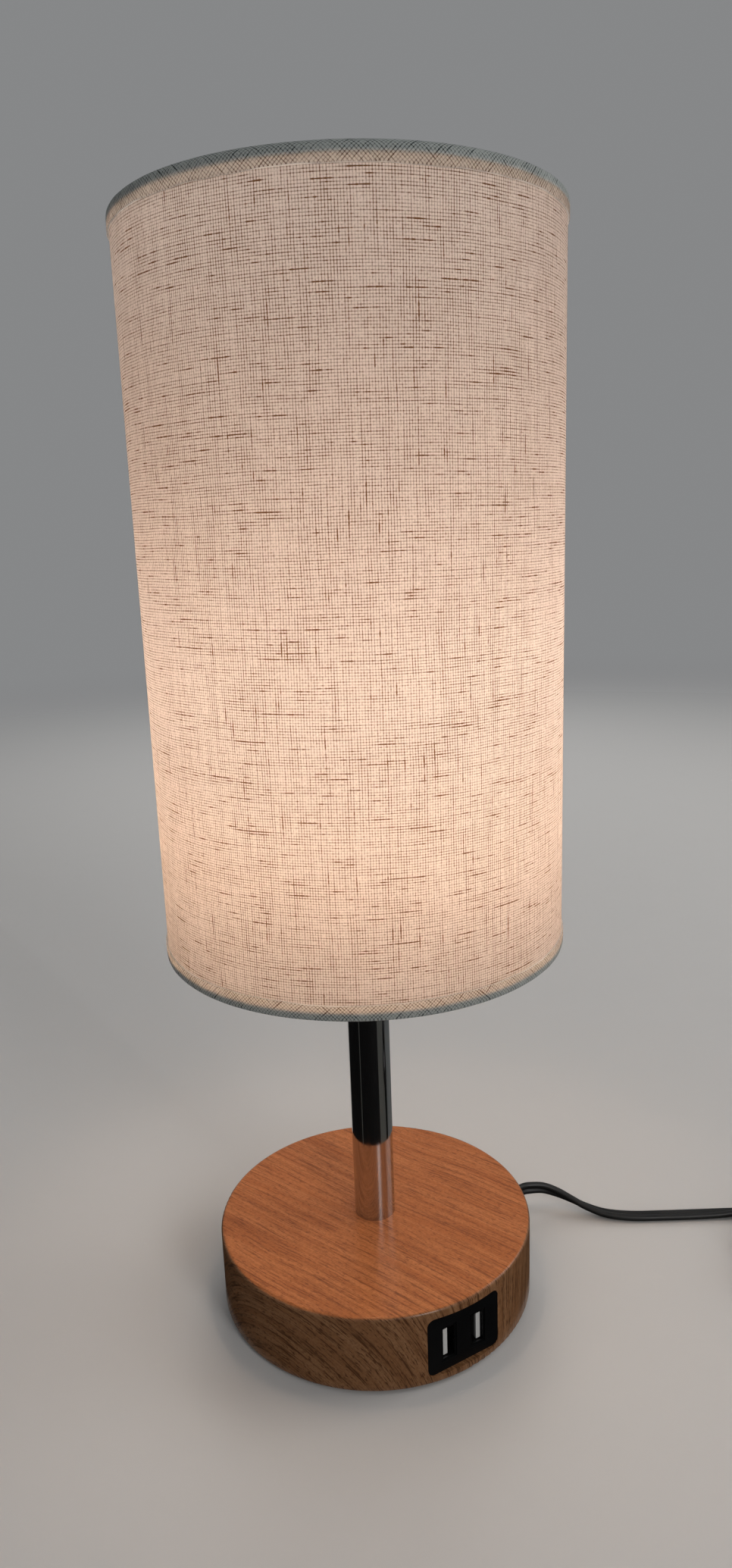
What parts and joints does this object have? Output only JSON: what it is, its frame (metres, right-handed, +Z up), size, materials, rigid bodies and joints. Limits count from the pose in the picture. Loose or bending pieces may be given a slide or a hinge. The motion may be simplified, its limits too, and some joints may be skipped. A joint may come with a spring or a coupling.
{
  "type": "bedside lamp",
  "caption": "Bedside lamp with a tall cloth drum shade on a chrome pole, and a round wood-effect base with charging sockets in its side.",
  "frame": {"origin": "middle of the non-slip pad's underside, on the table", "axes": "+Z up along the pole, -Y out of the charging plate, +X along the cord where it leaves the base"},
  "size_m": [0.3356, 0.2225, 0.4074],
  "materials": {
    "wood_wrap": "satin wood-grain wrap",
    "black_plastic": "matt",
    "plate_black": "satin",
    "steel": "plated",
    "pad_foam": "matt foam",
    "port_steel": "plated",
    "port_white": "satin",
    "gold": "plated",
    "board_green": "solder mask",
    "ferrite": "matt",
    "capacitor_blue": "sleeve",
    "dimmer_white": "matt",
    "brass": "plain",
    "wire_black": "matt",
    "cord_black": "satin",
    "tie_black": "matt",
    "pole_chrome": "polished",
    "bush_grey": "matt",
    "zinc": "zinc plated",
    "holder_black": "satin",
    "core_ceramic": "unglazed",
    "frame_white": "powder coat",
    "liner": "translucent styrene",
    "cloth": "linen weave with slubs",
    "tape": "bias tape",
    "bulb_black": "gloss",
    "bulb_metal": "bright",
    "bulb_white": "matt",
    "phosphor": "phosphor",
    "bulb_milk": "milky diffuser"
  },
  "bodies": {
    "stand": {"base_body": "wood_wrap", "bottom_cover": "black_plastic", "cover_screws": "steel", "non_slip_pad": "pad_foam", "usb_faceplate": "plate_black", "usb_shells": "port_steel", "usb_insulators": "port_white", "usb_contacts": "gold", "charger_board": "board_green", "board_screws": "steel", "charger_transformer": "ferrite", "charger_capacitors": "capacitor_blue", "touch_dimmer": "dimmer_white", "touch_terminal": "brass", "touch_lead": "wire_black", "usb_leads": "wire_black", "socket_leads": "wire_black", "inner_cord": "cord_black", "cord_relief": "cord_black", "power_cord": "cord_black", "cord_coil": "cord_black", "coil_tie": "tie_black", "plug_body": "cord_black", "plug_blades": "brass", "pole_tube": "pole_chrome", "lower_bush": "bush_grey", "upper_bush": "bush_grey", "threaded_rod": "zinc", "rod_washer": "zinc", "rod_nut": "zinc", "socket_cap": "holder_black", "socket_skirt": "holder_black", "socket_core": "core_ceramic", "socket_shell": "brass", "socket_contact": "brass", "terminal_screws": "brass"},
    "shade": {"shade_spider": "frame_white", "shade_top_ring": "frame_white", "shade_liner": "liner", "shade_fabric": "cloth", "shade_top_trim": "tape", "shade_bottom_trim": "tape"},
    "shade_ring": {"shade_ring_nut": "holder_black"},
    "bulb_contact": {"bulb_tip": "zinc", "bulb_insulator": "bulb_black"},
    "bulb": {"bulb_cap": "bulb_metal", "bulb_housing": "bulb_white", "bulb_driver": "board_green", "led_board": "bulb_white", "led_chips": "phosphor", "bulb_globe": "bulb_milk"}
  },
  "joints": [
    {"name": "shade_turn", "type": "hinge", "parent": "stand", "child": "shade", "pos_m": [0, 0, 0.1555], "axis": [0, 0, 1], "continuous": true},
    {"name": "ring_turn", "type": "hinge", "parent": "stand", "child": "shade_ring", "pos_m": [0, 0, 0.16], "axis": [0, 0, 1], "range_deg": [0, 1080]},
    {"name": "bulb_lift", "type": "slide", "parent": "stand", "child": "bulb_contact", "axis": [0, 0, 1], "range_m": [0, 0.022]},
    {"name": "bulb_turn", "type": "hinge", "parent": "bulb_contact", "child": "bulb", "pos_m": [0, 0, 0.16], "axis": [0, 0, 1], "range_deg": [0, 2200]}
  ],
  "couplings": [
    {"joint": "bulb_turn", "follows": "bulb_lift", "rad_per_m": 1731.4}
  ]
}
